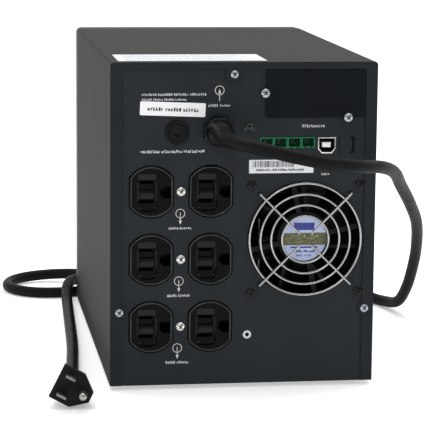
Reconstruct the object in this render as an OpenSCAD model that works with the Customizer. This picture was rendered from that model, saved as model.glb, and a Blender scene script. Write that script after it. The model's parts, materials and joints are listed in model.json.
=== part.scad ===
// Small tower uninterruptible power supply, built as an assembly of separate pieces.
// Rear panel with the sockets faces -Y, the front bezel faces +Y, +Z is up.

/* [Enclosure] */
// Width over the side walls
body_w = 175; // [172:1:185]
// Height of the sheet-metal box, without the feet
body_h = 213; // [213:1:225]
// Depth from the rear edge of the cover to the face of the bezel
body_d = 298; // [296:1:340]
// Thickness of the steel sheet
sheet = 1.2; // [1:0.1:1.4]
// Height of the rubber feet
foot_h = 3; // [2:0.5:6]
// Outer bend radius of the cover's top corners
bend_r = 2.4; // [1.6:0.2:4]
// Width of the cover's folded rear edge at the sides
flange_side = 7.5; // [6.5:0.5:8.5]
// Depth of the cover's folded rear edge at the top
flange_top = 4.4; // [3.5:0.1:5]

/* [Sockets] */
// Height of the middle socket row above the base
row_mid = 83.9; // [80:0.1:88]
// Spacing of the socket rows
row_pitch = 44.8; // [42:0.1:46]
// Distance between the two sockets of one receptacle
face_pitch = 38.9; // [38.5:0.1:39.5]
// Radius of a socket face
face_r = 17.05; // [16.8:0.05:17.3]
// Width of a socket face across its flats
face_flat = 28.6; // [28:0.1:29]
// X position of the receptacle centres
outlet_x = -41.1; // [-43:0.1:-40]

/* [Fan] */
// Frame size of the fan
fan_size = 80; // [80:80]
// Depth of the fan
fan_depth = 25; // [20:1:27]
// Hole spacing of the fan
fan_holes = 71.5; // [71.5:71.5]
// X position of the fan's axis
fan_x = 41; // [41:0.5:42]
// Height of the fan's axis above the base
fan_up = 96.2; // [95:0.1:98]
// Wire diameter of the finger guard
wire_d = 1.5; // [1.2:0.1:1.8]
// Number of fan blades
blades = 7; // [5:1:9]

/* [Mains lead] */
// Diameter of the lead
cord_d = 8.4; // [8:0.1:8.6]

/* [Buttons] */
// Travel of the two front buttons
button_travel = 1.5; // [1:0.1:1.8]
// Diameter of the breaker's reset button
reset_d = 5.8; // [5:0.1:6.4]

/* [Hidden] */

z0 = foot_h;                     // underside of the base
z1 = foot_h + body_h;            // top of the cover
hw = body_w / 2;
bezel_t = 16;                    // depth of the bezel
cover_len = body_d - bezel_t;
pan_y = sheet;                   // outer plane of the rear panel
pan_in = 2 * sheet;              // inner plane of the rear panel
proud = 2.4;                     // how far the guard stands out behind the cover
rear_y = -(body_d + proud) / 2 + proud;
fan_z = z0 + fan_up;
row_z = [row_mid + row_pitch + z0, row_mid + z0, row_mid - row_pitch + z0];
relief = [-17.5, 171];
relief_tip = -27;
breaker = [-44, 170.4];
skirt_top = 20;                  // top of the fixed front skirt
frame_y = cover_len - 8;         // front frame's rear face
bay_l = -84.8;                   // battery bay, left
bay_r = 17;                      // battery bay, right
bat = [94, 151, 65];
bat_y = frame_y - 4 - bat[1];

// Route of the mains lead, from the strain relief to the plug
ROUTE = [[-17.5,-27,171],[-17.5,-44,171],[-12.5,-62,171],[1,-75.5,169],[19,-80,165],[42,-75,160],[64,-61,156],
  [83,-38,152],[98,-8,144],[111,28,130],[127,67,111],[142,108,90],[152,148,65],[156,176,43],[157,198,24],
  [155.5,219,9.5],[150,243,4.7],[138,270,4.3],[118,298,4.3],[88,322,4.3],[50,336,4.3],[10,338,4.3],[-28,329,4.3],
  [-58,315.5,4.3],[-84,305.2,4.3],[-107.3,301.9,4.3],[-123.8,306.3,4.3],[-135.9,318.4,4.3],[-140.3,334.9,4.4],
  [-135.9,351.4,4.7],[-123.8,363.5,5.2],[-107.3,367.9,6],[-90.8,363.5,7.3],[-78.7,351.4,9],[-74.3,334.9,11],
  [-78.7,318.4,12.8],[-87.6,307.2,13.6],[-92.8,298.2,13.2],[-95.6,287,11.2],[-96.8,273,8.2],[-97.6,255,5.6],
  [-98.8,225,4.5],[-103.5,120,4.4],[-107,70,4.4],[-110,30,4.35],[-111,15,4.9],[-111.5,6.5,5.9]];
plug_at = [-111.5, 6.5, 5.9];     // cord axis on the plug's neck
plug_yaw = 5;                    // heading of the plug, degrees from -Y
plug_pitch = 9;                  // blades tilted up from the floor
plug_roll = 27;                  // roll of the plug about its own axis
plug_len = 50;                   // face of the plug to the end of its neck

// Smooth curve through the route's points
function cr(a, b, c, d, t) = 0.5 * (2*b + (c - a)*t + (2*a - 5*b + 4*c - d)*t*t + (3*b - a - 3*c + d)*t*t*t);
function on_path(P, u) = let (n = len(P) - 1, i = min(floor(u), n - 1), t = u - i,
    a = i == 0 ? 2*P[0] - P[1] : P[i-1], d = i + 2 > n ? 2*P[n] - P[n-1] : P[i+2]) cr(a, P[i], P[i+1], d, t);
function unit(v) = v / norm(v);
function tangent(P, u) = let (n = len(P) - 1, e = 0.02) unit(on_path(P, min(n, u + e)) - on_path(P, max(0, u - e)));
function side_of(t) = abs(t[2]) > 0.95 ? unit(cross(t, [1, 0, 0])) : unit(cross(t, [0, 0, 1]));

// A tube swept along the points P, n rings, s sides
module tube(P, r, n, s, t0 = undef, t1 = undef) {
  m = len(P) - 1;
  rings = [for (k = [0:n]) let (u = m * k / n, c = on_path(P, u),
      t = (k == 0 && t0 != undef) ? t0 : (k == n && t1 != undef) ? t1 : tangent(P, u),
      a = side_of(t), b = cross(t, a))
      [for (j = [0:s-1]) c + r * (cos(360*j/s) * a + sin(360*j/s) * b)]];
  pts = [for (q = rings, p = q) p];
  polyhedron(points = pts, faces = concat(
    [[for (j = [0:s-1]) j]],
    [for (k = [0:n-1], j = [0:s-1]) [k*s + j, (k+1)*s + j, (k+1)*s + (j+1)%s, k*s + (j+1)%s]],
    [[for (j = [s-1:-1:0]) n*s + j]]), convexity = 6);
}

module place() translate([0, rear_y, 0]) children();
// profile drawn in X and Z, carried from y0 to y1
module xz(y0, y1) translate([0, y1, 0]) rotate([90, 0, 0]) linear_extrude(y1 - y0, convexity = 8) children();
// profile drawn in Y and Z, carried from x0 to x1
module yz(x0, x1) translate([x0, 0, 0]) rotate([90, 0, 90]) linear_extrude(x1 - x0, convexity = 8) children();
module xy(za, zb) translate([0, 0, za]) linear_extrude(zb - za, convexity = 8) children();
module ycyl(x, z, y0, y1, r, r2 = undef, fn = 48) translate([x, y0, z]) rotate([-90, 0, 0]) cylinder(h = y1 - y0, r1 = r, r2 = r2 == undef ? r : r2, $fn = fn);
module zcyl(x, y, za, zb, r, r2 = undef, fn = 40) translate([x, y, za]) cylinder(h = zb - za, r1 = r, r2 = r2 == undef ? r : r2, $fn = fn);
module rr(w, h, r) { square([w - 2*r, h], center = true); square([w, h - 2*r], center = true);
  for (a = [-1, 1], b = [-1, 1]) translate([a*(w/2 - r), b*(h/2 - r)]) circle(r, $fn = 32); }
module box(a, b) translate(a) cube(b - a);

// Pan-head screw with a crossed recess, head towards -Y, seat plane at y
module pan_screw(x, z, y, r, hh, len, rs) difference() {
  union() {
    intersection() {
      ycyl(x, z, y - hh, y, r);
      translate([x, y - hh + r*1.35, z]) sphere(r*1.35, $fn = 64);
    }
    ycyl(x, z, y - 0.01, y + len, rs, fn = 32);
  }
  for (a = [45, -45]) translate([x, y - hh, z]) rotate([0, a, 0]) cube([r*1.15, 1.5, 0.75], center = true);
}

// ---------- enclosure ----------
module cover_out(g) difference() {
  union() { translate([0, (z1 + z0)/2]) rr(body_w - 2*g, body_h - 2*g, bend_r - g > 0.6 ? bend_r - g : 0.6);
    translate([-hw + g, z0 - 5]) square([body_w - 2*g, 40]); }
  translate([-hw - 5, z0 - 20]) square([body_w + 10, 20 + 0.2]);
}
ear = [[-81.5, 52.2, 4.6], [81.5, 52.2, 4.6]];
top_ear = [-7, 208];
module top_cover() place() color("#4e4d48") {
  difference() {
    union() {
      xz(0, cover_len) difference() { cover_out(0); cover_out(sheet); translate([-hw + sheet, z0 - 2]) square([body_w - 2*sheet, 60]); }
      xz(0, sheet) difference() {
        cover_out(0.3);
        difference() {
          translate([-hw + flange_side, z0 - 3]) square([body_w - 2*flange_side, body_h + 3 - flange_top]);
          for (e = ear) translate([e[0], e[1]]) circle(e[2], $fn = 40);
          translate([top_ear[0], top_ear[1]]) rr(11.5, 11.5, 3);
          translate([top_ear[0] - 5.75, top_ear[1]]) square([11.5, 8]);
        }
      }
    }
    for (e = ear) ycyl(e[0], e[1], -1, 3, 1.6, fn = 32);
    ycyl(top_ear[0], top_ear[1], -1, 3, 1.6, fn = 32);
  }
}
module cover_screws() place() color("#b9bcc0") {
  for (e = ear) pan_screw(e[0], e[1], 0, 2.6, 1.5, 6, 1.45);
  pan_screw(top_ear[0], top_ear[1], 0, 2.5, 1.5, 6, 1.45);
}
foot_at = [for (a = [-60, 60], b = [34, cover_len - 38]) [a, b]];
module base_pan() place() color("#2c2d2f") difference() {
  union() {
    xy(z0, z0 + sheet) translate([-hw + sheet + 0.1, pan_in]) square([body_w - 2*sheet - 0.2, cover_len - pan_in - 0.4]);
    for (s = [-1, 1]) box([s > 0 ? hw - 2*sheet - 0.1 : -hw + sheet + 0.1, pan_in + 0.1, z0], [s > 0 ? hw - sheet - 0.1 : -hw + 2*sheet + 0.1, frame_y - 0.3, z0 + 12]);
  }
  for (f = foot_at) zcyl(f[0], f[1], z0 - 1, z0 + 3, 2.3);
  for (i = [-3:3]) xy(z0 - 1, z0 + 3) translate([50, 105 + i*9]) rr(36, 3, 1.4);
}
module rubber_feet() place() color("#19191a") for (f = foot_at) difference() {
  union() { zcyl(f[0], f[1], 0, z0, 8, 9); zcyl(f[0], f[1], z0 - 0.01, z0 + sheet, 2.2, 2.2); }
  zcyl(f[0], f[1], -1, 1.4, 4.2, 3.6);
}
slot = [13.6, 79.7, 179.6, 210.6];  // left, right, bottom, top of the slot plate
slot_screw = [[13.4, 195.6], [68.4, 179.4]];
term_x = [for (i = [0:3]) 14.8 + i*9.13];
term_z = 163.2;
usb = [54.4, 161.3];
blank = [68, 161.3];
module dd(r, f) intersection() { circle(r, $fn = 96); square([f, 2*r + 2], center = true); }
module usb_2d(g) polygon([[-5.9 + g, 5.3 - g], [5.9 - g, 5.3 - g], [5.9 - g, -2.2 + g*0.3], [3.4 - g*0.4, -5.3 + g], [-3.4 + g*0.4, -5.3 + g], [-5.9 + g, -2.2 + g*0.3]]);
module rear_panel() place() color("#23282d") difference() {
  xz(pan_y, pan_in) translate([0, (z0 + z1 - sheet - 0.2)/2]) square([body_w - 2*sheet - 0.4, z1 - sheet - 0.2 - z0], center = true);
  xz(pan_y - 1, pan_in + 1) {
    for (z = row_z, s = [-1, 1]) translate([outlet_x + s*face_pitch/2, z]) dd(face_r + 0.5, face_flat + 0.9);
    translate([fan_x, fan_z]) circle(38.2, $fn = 120);
    for (a = [-1, 1], b = [-1, 1]) { translate([fan_x + a*30.4, fan_z + b*30.4]) circle(1.1, $fn = 24); translate([fan_x + a*fan_holes/2, fan_z + b*fan_holes/2]) circle(2.3, $fn = 32); }
    translate(breaker) circle(5.7, $fn = 48);
    translate(relief) circle(8.1, $fn = 48);
    for (z = row_z) translate([outlet_x, z]) circle(1.8, $fn = 32);
    translate([3.1, 174.3]) circle(1.5, $fn = 32);
    translate([3.1, 36]) circle(2.1, $fn = 32);
    translate([(slot[0] + slot[1])/2, (slot[2] + slot[3])/2]) rr(slot[1] - slot[0] - 6, slot[3] - slot[2] - 6, 1);
    for (p = slot_screw) translate(p) circle(1.4, $fn = 32);
    translate([28.5, term_z]) square([36.8, 7.7], center = true);
    translate(usb) usb_2d(-0.3);
    translate(blank) square([10.8, 12.6], center = true);
    for (e = ear) translate([e[0], e[1]]) circle(1.5, $fn = 32);
    translate(top_ear) circle(1.5, $fn = 32);
  }
}
module front_frame() place() color("#2c2d2f") difference() {
  union() {
    xz(frame_y, frame_y + sheet) translate([0, (z0 + z1)/2]) square([body_w - 2*sheet - 0.6, body_h - 2*sheet - 0.6], center = true);
    box([-hw + 1.6, frame_y - 8, z1 - 2*sheet - 0.3], [hw - 1.6, frame_y + 0.01, z1 - sheet - 0.3]);
  }
  xz(frame_y - 1, frame_y + 3) {
    translate([bay_l + 2, z0 + 4]) square([bay_r - bay_l - 4, body_h - 12]);
    for (i = [0:7], j = [0, 1]) translate([42 + j*25, 40 + i*12]) rr(20, 3.6, 1.7);
    for (p = tongue_at) translate(p) square([8.8, 3.8], center = true);
  }
  for (p = retain_at) ycyl(p[0], p[1], frame_y - 1, frame_y + 3, 1.5, fn = 32);
}
tongue_at = [[30, 26], [72, 26], [-60, z1 - 4.6], [60, z1 - 4.6]];
retain_at = [[bay_r + 6, 45], [bay_r + 6, 105]];
module divider_wall() place() color("#8d9092") difference() {
  union() {
    box([bay_r, 44, z0 + sheet], [bay_r + 1, frame_y, 176]);
    box([bay_r, 44, z0 + sheet], [bay_r + 10, frame_y, z0 + 2*sheet]);
  }
  yz(bay_r - 1, bay_r + 3) { translate([70, 120]) rr(30, 24, 6); translate([frame_y - 38, 163]) rr(26, 20, 6); }
}
module front_skirt() place() color("#26272a") difference() {
  union() {
    box([-hw + 0.2, cover_len, z0], [hw - 0.2, body_d - 3, skirt_top - 0.4]);
    xy(z0, skirt_top - 0.4) translate([0, body_d - 3]) for (s = [-1, 1]) { translate([s > 0 ? 0 : -hw + 3, -0.01]) square([hw - 3, 3.01]); translate([s*(hw - 3.2), 0]) circle(3, $fn = 40); }
  }
  box([-hw + 3, cover_len - 1, z0 + 3], [hw - 3, body_d - 3, skirt_top - 3.4]);
}

// ---------- card slot ----------
module slot_cover_plate() place() color("#1f2429") difference() {
  xz(pan_y - 1, pan_y) union() {
    translate([(slot[0] + slot[1])/2, (slot[2] + slot[3])/2]) rr(slot[1] - slot[0], slot[3] - slot[2], 1.6);
    for (p = slot_screw) translate(p) circle(3.4, $fn = 40);
  }
  for (p = slot_screw) ycyl(p[0], p[1], -3, 3, 1.6, fn = 32);
}
module slot_plate_screws() place() color("#c3c6c9") for (p = slot_screw) pan_screw(p[0], p[1], pan_y - 1, 2.9, 1.7, 6, 1.35);
module card_guides() place() color("#3a3b3a") for (x = [18.6, 75.4]) difference() {
  box([x < 40 ? x : x - 4, pan_in, 186], [x < 40 ? x + 4 : x, 118, 194]);
  box([x < 40 ? x + 2 : x - 5, 2, 189], [x < 40 ? x + 5 : x - 2, 119, 191]);
}

// ---------- receptacles ----------
module ground_2d(g) difference() { translate([9.1, -0.2]) square([7 + g, 7.8 + g], center = true); translate([5.6 - g, -4.1 - g]) rotate(45) square([3.6, 3.6], center = true); }
module socket_cuts() {
  xz(0, 2.4) { translate([-3.3, 4.5]) rr(10.2, 6.6, 0.8); translate([-2.5, -6.7]) rr(13, 12.4, 4.2); }
  box([-7.6, 0, 5.2], [1.0, 17, 7.5]);
  box([-8.0, 0, -7.5], [1.4, 17, -5.2]);
  xz(0, 17) ground_2d(0);
}
module duplex(zc) place() translate([outlet_x, 0, zc]) color("#131313") difference() {
  union() {
    for (s = [-1, 1]) translate([s*face_pitch/2, 0, 0]) {
      xz(1.1, pan_in + 0.3) dd(face_r, face_flat);
      intersection() { ycyl(0, 0, 0.3, 1.11, face_r - 0.8, face_r, fn = 96); box([-face_flat/2, 0, -20], [face_flat/2, 2, 20]); }
    }
    xz(pan_in, 24) rr(69, 33.6, 4);
    xz(23.9, 27) rr(60, 26, 3);
  }
  for (s = [-1, 1]) translate([s*face_pitch/2, 0, 0]) socket_cuts();
  ycyl(0, 0, -1, 30, 1.9, fn = 32);
}
module outlet_upper() duplex(row_z[0]);
module outlet_middle() duplex(row_z[1]);
module outlet_lower() duplex(row_z[2]);
module outlet_contacts() place() color("#c9b06a") for (z = row_z, s = [-1, 1]) translate([outlet_x + s*face_pitch/2, 0, z]) {
  for (q = [[-7.5, 0.9, 6.35], [-7.9, 1.3, -6.35]]) for (e = [-1, 1]) box([q[0], 9, q[2] + e*0.9 - 0.2], [q[1], 16.5, q[2] + e*0.9 + 0.2]);
  for (t = [-3.4, 3.2]) box([8.2, 9, t - 0.2], [12.2, 16.5, t + 0.2]);
  for (x = [-7.5, 2.5]) ycyl(x, -10.6, 1.5, 2.4, 0.7, fn = 24);
}
module outlet_screws() place() color("#d2d4d6") for (z = row_z) pan_screw(outlet_x, z, pan_y, 2.9, 1.9, 20, 1.7);

// ---------- fan ----------
module fan_frame() place() color("#151515") translate([fan_x, 0, fan_z]) {
  f0 = pan_in; f1 = f0 + fan_depth;
  difference() {
    union() {
      for (y = [f0, f1 - 4]) xz(y, y + 4) difference() { rr(fan_size, fan_size, 4); circle(38, $fn = 120); }
      xz(f0, f1) difference() { circle(39.6, $fn = 120); circle(38, $fn = 120); }
      xz(f0 + 0.5, f1 - 0.5) for (a = [-1, 1], b = [-1, 1]) translate([a*fan_holes/2, b*fan_holes/2]) circle(4, $fn = 32);
      ycyl(0, 0, 4.4, 8.2, 17.6, fn = 80);
      ycyl(0, 0, 8.1, 20, 4, fn = 48);
      for (a = [12, 102, 192, 282]) translate([0, 4.6, 0]) rotate([0, -a, 0]) translate([16, 0, -1.7]) cube([22.6, 3.4, 3.4]);
    }
    for (a = [-1, 1], b = [-1, 1]) ycyl(a*fan_holes/2, b*fan_holes/2, 0, 40, 2.25, fn = 32);
    ycyl(0, 0, 5.6, 21, 1.55, fn = 48);
  }
}
module blade() intersection() {
  difference() {
    translate([15, 30.5, -24]) rotate([0, 90, 0]) cylinder(h = 24, r = 27.2, $fn = 96);
    translate([14, 30.5, -24]) rotate([0, 90, 0]) cylinder(h = 26, r = 25.8, $fn = 96);
  }
  translate([14, 10.2, -14]) cube([24, 14.2, 26]);
}
module fan_rotor() place() color("#1b1b1c") translate([fan_x, 0, fan_z]) {
  difference() {
    union() {
      ycyl(0, 0, 9, 26.2, 17.2, fn = 80);
      intersection() {
        for (i = [0:blades-1]) rotate([0, i*360/blades, 0]) blade();
        ycyl(0, 0, 9, 26.5, 37, fn = 120);
      }
    }
    ycyl(0, 0, 8, 24.4, 15.4, fn = 80);
  }
  ycyl(0, 0, 6, 25, 1.5, fn = 48);
}
module fan_label() place() color("#c7d3e6") ycyl(fan_x, fan_z, 4.2, 4.4, 15, fn = 80);
guard_r = [37.1, 29.8, 22.7, 15.5];
module fan_guard() place() color("#cfd0cf") translate([fan_x, 0, fan_z]) {
  for (r = guard_r) translate([0, -0.3, 0]) rotate([90, 0, 0]) rotate_extrude($fn = 120) translate([r, 0]) circle(wire_d/2, $fn = 20);
  for (a = [45, 135, 225, 315]) rotate([0, -a, 0]) {
    translate([5.3, -1.55, 0]) rotate([0, 90, 0]) cylinder(h = 36.9, r = wire_d/2, $fn = 20);
    translate([5.3, -1.55, 0]) sphere(wire_d/2, $fn = 20);
    translate([42.2, -0.75, 0]) rotate([0, 0, -90]) rotate_extrude(angle = 90, $fn = 32) translate([0.8, 0]) circle(wire_d/2, $fn = 20);
    translate([43.0, -0.75, 0]) rotate([-90, 0, 0]) cylinder(h = 3.1, r = wire_d/2, $fn = 20);
  }
}
module fan_rivets() place() color("#101112") for (a = [-1, 1], b = [-1, 1]) translate([fan_x + a*fan_holes/2, 0, fan_z + b*fan_holes/2]) difference() {
  union() {
    intersection() { ycyl(0, 0, -0.5, pan_y, 3.2, fn = 40); translate([0, 4.2, 0]) sphere(4.9, $fn = 64); }
    ycyl(0, 0, pan_y - 0.01, 8, 2.15, fn = 32);
  }
  ycyl(0, 0, -2, 1, 1.0, fn = 24);
}

// ---------- breaker ----------
module breaker_body() place() color("#17181a") translate([breaker[0], 0, breaker[1]]) difference() {
  union() {
    ycyl(0, 0, -1.9, pan_in + 0.01, 5.5);
    ycyl(0, 0, -2.4, -1.9, 5.1, 5.5);
    xz(pan_in, 36) rr(15, 27, 2);
    for (z = [-8, 8]) box([-3.2, 35.9, z - 0.4], [3.2, 44, z + 0.4]);
  }
  ycyl(0, 0, -4, 13, reset_d/2 + 0.06);
}
module breaker_nut() place() color("#202326") translate([breaker[0], 0, breaker[1]]) difference() {
  union() { ycyl(0, 0, -0.9, pan_y, 7.7, fn = 60); ycyl(0, 0, -1.4, -0.9, 7.1, 7.7, fn = 60); }
  ycyl(0, 0, -3, 3, 5.56);
  for (a = [0:30:150]) translate([0, -1.5, 0]) rotate([0, a, 0]) cube([17, 1.0, 0.7], center = true);
}
module breaker_button() place() color("#0d0e0f") translate([breaker[0], 0, breaker[1]]) difference() {
  ycyl(0, 0, -1.7, 8, reset_d/2);
  translate([0, -6.4, 0]) sphere(5.2, $fn = 48);
}

// ---------- lead, strain relief and plug ----------
module strain_relief() place() color("#141516") translate([relief[0], 0, relief[1]]) difference() {
  union() {
    translate([0, -8, 0]) rotate([-90, 0, 0]) rotate([0, 0, 22.5]) cylinder(h = 8 + pan_y, r = 10.4, $fn = 8);
    ycyl(0, 0, -10, -8, 8.4, 9.4, fn = 48);
    ycyl(0, 0, pan_y - 0.01, 11, 8, fn = 48);
    for (s = [-1, 1]) box([s > 0 ? 6 : -9.2, pan_in, -2], [s > 0 ? 9.2 : -6, 6, 2]);
    ycyl(0, 0, relief_tip, -9.9, 4.9, 7.2, fn = 48);
  }
  for (i = [0:3]) difference() { ycyl(0, 0, -24 + i*3.6, -22.6 + i*3.6, 12); ycyl(0, 0, -25 + i*3.6, -21 + i*3.6, 4.6 + i*0.45, fn = 48); }
}
module power_cord() place() color("#2f2f2a")
  tube(ROUTE, cord_d/2, 78, 10, [0, -1, 0], [-sin(plug_yaw)*cos(plug_pitch), -cos(plug_yaw)*cos(plug_pitch), sin(plug_pitch)]);
// frame of the plug: origin at the cord axis on the neck's end, +Y' back along the lead, face at -plug_len
module plug_frame() place() translate(plug_at) rotate([0, 0, -plug_yaw]) rotate([-plug_pitch, 0, 0]) children();
module plug_2d(g) polygon([[-7 + g, 11.4 - g], [-7 + g, -11.4 + g], [7.6 - g*0.4, -11.4 + g], [17.4 - g, -3.4 + g*0.4], [17.4 - g, 3.4 - g*0.4], [7.6 - g*0.4, 11.4 - g]]);
module plug_body() plug_frame() rotate([0, plug_roll, 0]) color("#1d1e21") {
  translate([-3.5, 0, 0]) {
    xz(-plug_len, -plug_len + 11) plug_2d(0);
    xz(-plug_len + 10.9, -plug_len + 20) intersection() { plug_2d(1.6); translate([2, 0]) circle(13, $fn = 60); }
    xz(-plug_len + 19.9, -plug_len + 26) intersection() { plug_2d(3.4); translate([3, 0]) circle(9.6, $fn = 60); }
  }
  difference() {
    ycyl(0, 0, -plug_len + 25.9, 0, 7.4, 5.1);
    for (i = [0:3]) difference() { ycyl(0, 0, -19 + i*4.2, -17.4 + i*4.2, 12); ycyl(0, 0, -20 + i*4.2, -16 + i*4.2, 5.4 - i*0.3); }
  }
}
module plug_blades() plug_frame() rotate([0, plug_roll, 0]) color("#d0b878") translate([-3.5, -plug_len, 0]) {
  for (s = [-1, 1]) difference() {
    box([-3.2, -16, s*6.35 - 0.76], [3.2, 0, s*6.35 + 0.76]);
    translate([0, -12.2, s*6.35]) cylinder(h = 4, r = 1.6, center = true, $fn = 32);
  }
  ycyl(11.9, 0, -17.5, 0, 2.4, fn = 40);
  translate([11.9, -17.5, 0]) sphere(2.4, $fn = 40);
}

// ---------- small fittings on the panel ----------
module eyelet_clip() place() color("#5b605e") difference() {
  union() {
    ycyl(3.1, 174.3, -0.1, pan_y, 2, fn = 40);
    ycyl(3.1, 174.3, pan_y - 0.01, 4, 1.45, fn = 32);
    xz(0.5, pan_y) polygon([[1.2, 174.6], [-0.9, 171.6], [-0.6, 170.4], [1.2, 171.8], [2.4, 172.2], [3.8, 172.2], [5, 171.8], [6.8, 170.4], [7.1, 171.6], [5, 174.6]]);
  }
  ycyl(3.1, 174.3, -2, 5, 0.8, fn = 24);
}
module earth_insert() place() color("#b7b6ad") difference() {
  union() { ycyl(3.1, 36, 0.3, pan_y, 2.8, fn = 48); ycyl(3.1, 36, pan_y - 0.01, 6.3, 2.05, fn = 40); }
  ycyl(3.1, 36, -1, 7, 1.25, fn = 40);
}
module terminal_headers() place() color("#2e7a55") for (x = term_x) translate([x, 0, term_z]) difference() {
  union() { box([-4.45, 0.5, -3.6], [4.45, 11, 3.6]); box([-4.45, pan_in + 0.2, -7.2], [4.45, 11, -3.5]); }
  box([-3.75, 0, -2.7], [3.75, 8.6, 2.9]);
  for (s = [-1, 1]) box([s*1.9 - 0.7, 0, -4], [s*1.9 + 0.7, 2.2, -2.5]);
}
module terminal_pins() place() color("#d9cf9c") for (x = term_x, s = [-1, 1]) {
  box([x + s*1.9 - 0.5, 2.6, term_z - 0.5], [x + s*1.9 + 0.5, 8.6, term_z + 0.5]);
}
module usb_shell() place() color("#c9ccd0") translate([usb[0], 0, usb[1]]) difference() {
  xz(0.2, 16) usb_2d(0);
  xz(-1, 14) usb_2d(0.75);
}
module usb_tongue() place() color("#f2f2ee") translate([usb[0], 0, usb[1]]) {
  box([-2.8, 1.6, -1.4], [2.8, 14, 1.8]);
}
module port_blank() place() color("#20262c") translate([blank[0], 0, blank[1]]) difference() {
  union() { xz(pan_y, pan_in) square([9.9, 12.4], center = true);
    for (z = [-4, 4]) box([-7.2, pan_in, z - 1], [7.2, pan_in + 0.9, z + 1]); }
  xz(0, 5) { translate([3.9, 0]) square([0.9, 10.4], center = true); for (z = [-4.75, 4.75]) translate([3.1, z]) square([1.7, 0.9], center = true); }
}
module interface_board() place() color("#1f5a34") {
  box([8, pan_in, 154.4], [79, 42, 156]);
  box([24, 24, 156], [36, 36, 158.4]);
}

// ---------- labels ----------
module model_label() place() color("#f4f4f2") xz(pan_y - 0.2, pan_y) translate([-46.9, 185.6]) rotate(-2.2) rr(42.6, 9, 0.8);
module barcode_label() place() color("#e9ebee") xz(pan_y - 0.2, pan_y) translate([24.6, 147.6]) rr(42.6, 8.8, 0.4);
module top_label() place() color("#d5d8dc") xy(z1, z1 + 0.2) translate([-33, 31]) rr(97, 46, 0.8);

// ---------- electronics ----------
module main_board() place() color("#24512f") {
  box([82.4, 36, 14], [84, 262, 200]);
  for (y = [44, 254], z = [24, 190]) translate([84, y, z]) rotate([0, 90, 0]) cylinder(h = hw - sheet - 84, r = 3, $fn = 24);
}
module heatsinks() place() color("#a8abae") for (z = [34, 92]) translate([0, 0, z]) {
  box([76, 60, 0], [82.4, 150, 44]);
  for (i = [0:8]) box([44, 60 + i*11, 0], [76.1, 62 + i*11, 44]);
}
module transformer_core() place() color("#3b3d40") translate([29, 176, z0 + sheet]) difference() {
  cube([44, 62, 52]);
  translate([-1, 11, 11]) cube([46, 12, 30]);
  translate([-1, 39, 11]) cube([46, 12, 30]);
}
module transformer_winding() place() color("#b3793a") translate([29, 176, z0 + sheet]) difference() {
  translate([-6, 11, 11]) cube([56, 40, 30]);
  translate([-0.01, 23, 10]) cube([44.02, 16, 32]);
  translate([-7, 23, 20]) cube([1.5, 16, 12]);
}
module bulk_capacitors() place() color("#3c4a78") for (i = [0:2]) translate([0, 178 + i*31, 128]) difference() {
  translate([40, 0, 0]) rotate([0, 90, 0]) cylinder(h = 42.4, r = 14, $fn = 48);
  translate([39, 0, 0]) rotate([0, 90, 0]) cylinder(h = 2, r = 11, $fn = 48);
  translate([81, 0, 0]) rotate([0, 90, 0]) difference() { cylinder(h = 0.8, r = 15, $fn = 48); cylinder(h = 2, r = 13.4, $fn = 48); }
}
module relays() place() color("#2a2f38") for (i = [0:3]) box([64, 50 + i*24, 152], [82.4, 68 + i*24, 176]);
module outlet_wiring() place() color("#2b2b2c") for (z = row_z, k = [-1, 0, 1]) translate([-28 + k*4, 0, z + k*7]) {
  ycyl(0, 0, 27, 38 + k*0.1, 1.2, fn = 24);
  translate([0, 38, 0]) sphere(1.2, $fn = 24);
  translate([0, 38, 0]) rotate([0, 90, 0]) cylinder(h = 110.4 - k*4, r = 1.2, $fn = 24);
}

// ---------- batteries ----------
module battery_tray() place() color("#7d8083") {
  box([bay_l, bat_y - 1.2, z0 + sheet], [bay_r - 0.3, frame_y - 1, z0 + 2*sheet + 0.2]);
  box([bay_l, bat_y - 1.2, z0 + sheet], [bay_r - 0.3, bat_y, z0 + 40]);
  box([bay_l, bat_y - 1.2, z0 + sheet], [bay_l + 1.4, frame_y - 1, z0 + 30]);
}
module battery(i) place() color("#34363a") translate([bay_l + 1.6, bat_y, z0 + 2*sheet + 0.2 + i*bat[2]]) {
  difference() {
    cube([bat[0] - 6, bat[1], bat[2]]);
    for (y = [-0.01, bat[1] - 1.19]) translate([10, y, 8]) cube([60, 1.2, bat[2] - 16]);
  }
  translate([bat[0] - 6.01, 4, 4]) cube([6, bat[1] - 8, bat[2] - 8]);
}
module battery_lower() battery(0);
module battery_middle() battery(1);
module battery_upper() battery(2);
tab_y = [bat_y + 14, bat_y + bat[1] - 14];
function tab_z(i) = z0 + 2*sheet + 0.2 + i*bat[2] + 14;
module battery_tabs() place() color("#c7a24a") for (i = [0:2], y = tab_y)
  box([bay_l + 1.6 + bat[0], y - 2.4, tab_z(i)], [bay_l + 1.6 + bat[0] + 5.4, y + 2.4, tab_z(i) + 0.8]);
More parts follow.
